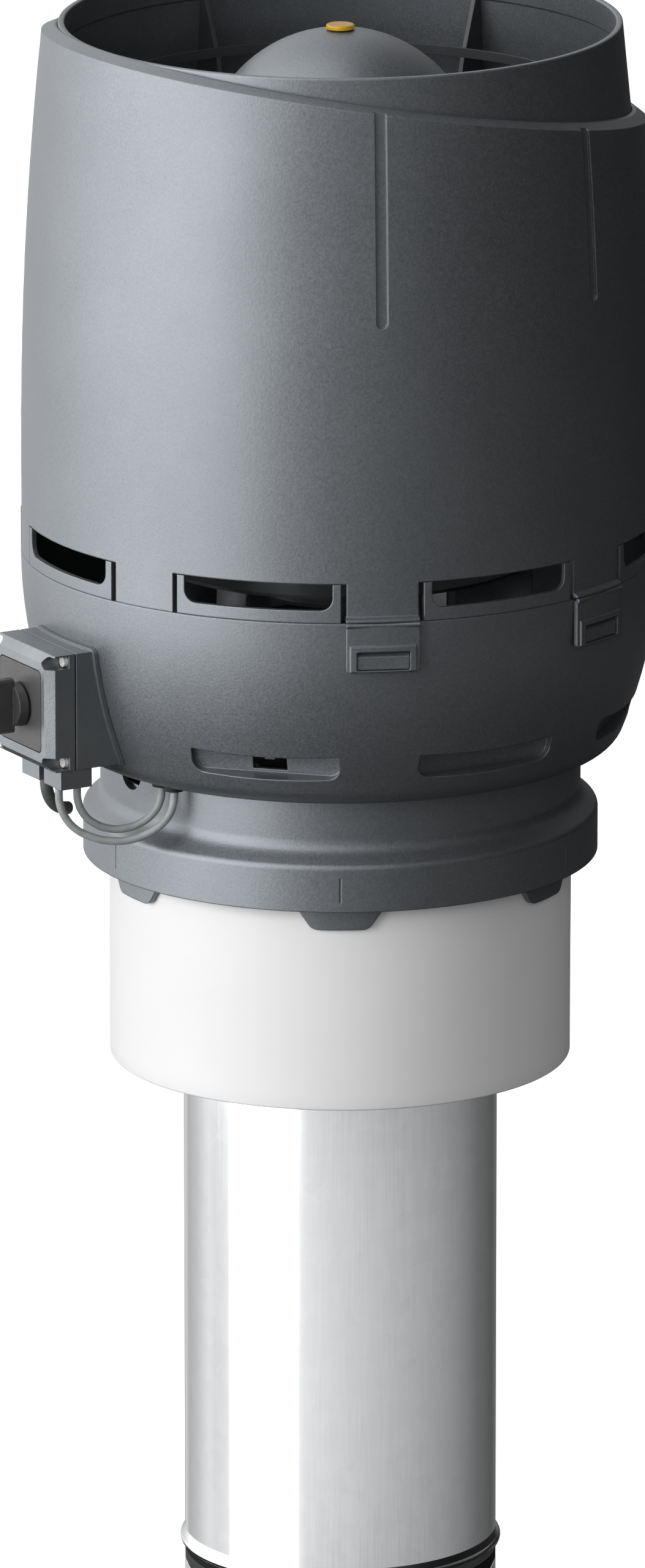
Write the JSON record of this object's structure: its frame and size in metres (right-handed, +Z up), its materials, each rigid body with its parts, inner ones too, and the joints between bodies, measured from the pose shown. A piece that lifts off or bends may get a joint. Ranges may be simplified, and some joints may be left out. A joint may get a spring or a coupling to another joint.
{
  "type": "roof exhaust fan",
  "caption": "Duct-mounted roof exhaust fan with a windowed bowl, latched barrel hood, slanted outlet, radial impeller and a side isolator switch.",
  "frame": {"origin": "centre of the steel duct's lower end", "axes": "+Z up along the fan's axis, -X towards the switch box, -Y towards the front pair of latches"},
  "size_m": [0.459, 0.404, 1.0365],
  "materials": {
    "duct_steel": "bright galvanised sheet, drawn lengthways",
    "rubber": "dark matt rubber",
    "jacket": "white smooth jacket",
    "mineral_wool": "pressed mineral wool",
    "hood_plastic": "slate grey moulded plastic with a fine grain",
    "inner_plastic": "dark grey moulded plastic",
    "box_plastic": "grey moulded plastic",
    "switch_plastic": "black-grey moulded plastic",
    "knob_plastic": "satin black plastic",
    "terminal_plastic": "ivory terminal plastic",
    "cable_grey": "grey cable sheath",
    "cable_black": "black cable sheath",
    "amber_plug": "amber plastic",
    "screw_steel": "bright plated screws",
    "cast_aluminium": "die-cast aluminium",
    "core_steel": "stacked and varnished laminations",
    "bearing_steel": "ground steel",
    "impeller_aluminium": "pressed aluminium sheet"
  },
  "bodies": {
    "base": {"steel_duct": "duct_steel", "duct_seal": "rubber", "insulation_jacket": "jacket", "insulation_core": "mineral_wool", "neck_collar": "hood_plastic", "duct_rivets": "screw_steel", "base_bowl": "hood_plastic", "collar_screws": "screw_steel", "inlet_nozzle": "inner_plastic", "nozzle_screws": "screw_steel", "switch_box_base": "box_plastic", "switch_box_cover": "box_plastic", "box_gasket": "rubber", "cover_screws": "screw_steel", "box_screws": "screw_steel", "switch_plate": "switch_plastic", "switch_body": "switch_plastic", "terminal_block": "terminal_plastic", "supply_gland_block": "box_plastic", "motor_gland_block": "box_plastic", "supply_grommet": "rubber", "cable_outer": "cable_grey", "cable_inner": "cable_grey", "cable_grommets": "rubber", "connector_socket": "switch_plastic", "window_frames": "hood_plastic"},
    "hood": {"outer_hood": "hood_plastic", "outlet_ring": "hood_plastic", "motor_support": "inner_plastic", "support_screws": "screw_steel", "motor_dome": "hood_plastic", "dome_plug": "amber_plug", "motor_flange": "cast_aluminium", "stator_core": "core_steel", "lower_bearing": "bearing_steel", "upper_bearing": "bearing_steel", "motor_screws": "screw_steel", "motor_lead": "cable_black", "connector_plug": "switch_plastic"},
    "impeller": {"rotor_can": "cast_aluminium", "motor_shaft": "bearing_steel", "retaining_ring": "bearing_steel", "impeller_back_plate": "impeller_aluminium", "impeller_blades": "impeller_aluminium", "impeller_shroud": "impeller_aluminium", "impeller_rivets": "screw_steel"},
    "latch_fl": {"latch_front_left": "hood_plastic"},
    "latch_fr": {"latch_front_right": "hood_plastic"},
    "latch_rl": {"latch_rear_left": "hood_plastic"},
    "latch_rr": {"latch_rear_right": "hood_plastic"},
    "knob": {"switch_knob": "knob_plastic", "switch_spindle": "screw_steel"}
  },
  "joints": [
    {"name": "hood_lift", "type": "slide", "parent": "base", "child": "hood", "axis": [0, 0, 1], "range_m": [0, 0.15]},
    {"name": "impeller_spin", "type": "hinge", "parent": "hood", "child": "impeller", "pos_m": [0, 0, 0.7], "axis": [0, 0, 1], "continuous": true},
    {"name": "latch_front_left_flex", "type": "hinge", "parent": "hood", "child": "latch_fl", "pos_m": [-0.0779, -0.18807, 0.6952], "axis": [-0.9239, 0.3827, 0], "range_deg": [0, 12], "stiffness_Nm_per_rad": 0.4},
    {"name": "latch_front_right_flex", "type": "hinge", "parent": "hood", "child": "latch_fr", "pos_m": [0.0779, -0.18807, 0.6952], "axis": [-0.9239, -0.3827, 0], "range_deg": [0, 12], "stiffness_Nm_per_rad": 0.4},
    {"name": "latch_rear_left_flex", "type": "hinge", "parent": "hood", "child": "latch_rl", "pos_m": [-0.0779, 0.18807, 0.6952], "axis": [0.9239, 0.3827, 0], "range_deg": [0, 12], "stiffness_Nm_per_rad": 0.4},
    {"name": "latch_rear_right_flex", "type": "hinge", "parent": "hood", "child": "latch_rr", "pos_m": [0.0779, 0.18807, 0.6952], "axis": [0.9239, -0.3827, 0], "range_deg": [0, 12], "stiffness_Nm_per_rad": 0.4},
    {"name": "switch_turn", "type": "hinge", "parent": "base", "child": "knob", "pos_m": [-0.234, 0, 0.6225], "axis": [-1, 0, 0], "range_deg": [0, 90]}
  ]
}
